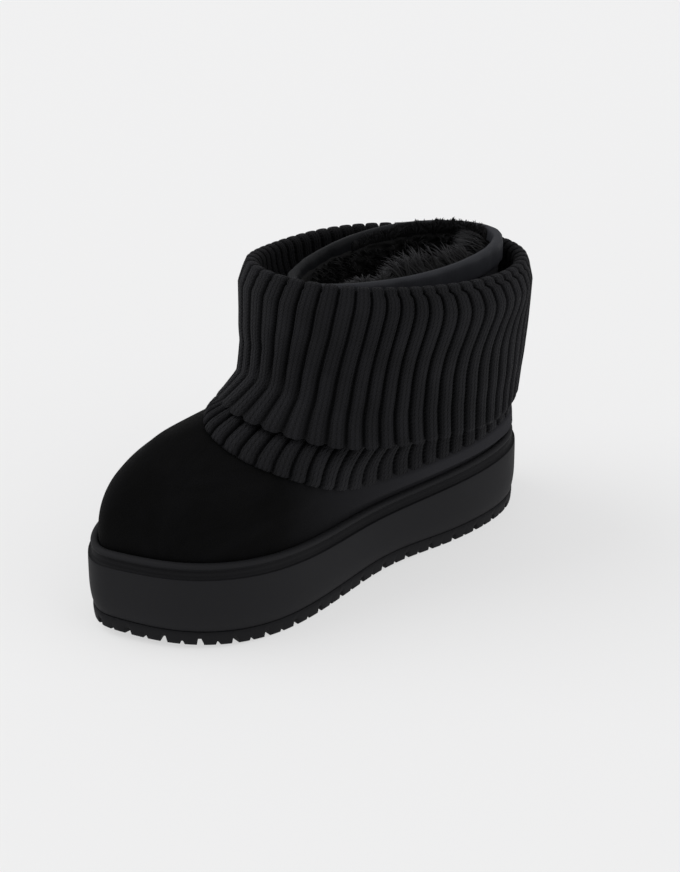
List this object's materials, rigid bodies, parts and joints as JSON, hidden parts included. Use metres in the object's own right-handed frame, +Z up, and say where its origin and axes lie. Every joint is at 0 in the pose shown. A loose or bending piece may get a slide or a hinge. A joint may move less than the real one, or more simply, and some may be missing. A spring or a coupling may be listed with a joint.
{
  "type": "sock boot",
  "caption": "Left platform sock boot: moulded platform sole, low suede bootie with plush lining, and a ribbed knit shaft folded down as a cuff.",
  "frame": {"origin": "under the middle of the boot's box, on the floor plane that the tread rests on", "axes": "+X towards the toe, +Y towards the outer (left) side, +Z up"},
  "size_m": [0.272, 0.1338, 0.1644],
  "materials": {
    "tread_rubber": "matte moulded black rubber",
    "foam": "matte moulded black foam with a fine skin",
    "lining": "charcoal plush pile",
    "suede": "black suede, mottled nap",
    "tape": "smooth satin binding tape",
    "knit": "black rib knit with plain stitches on each rib"
  },
  "bodies": {
    "root": {"outsole": "tread_rubber", "midsole": "foam", "insole": "lining", "upper": "suede", "lining": "lining", "collar_binding": "tape", "knit_shaft": "knit"}
  },
  "joints": []
}
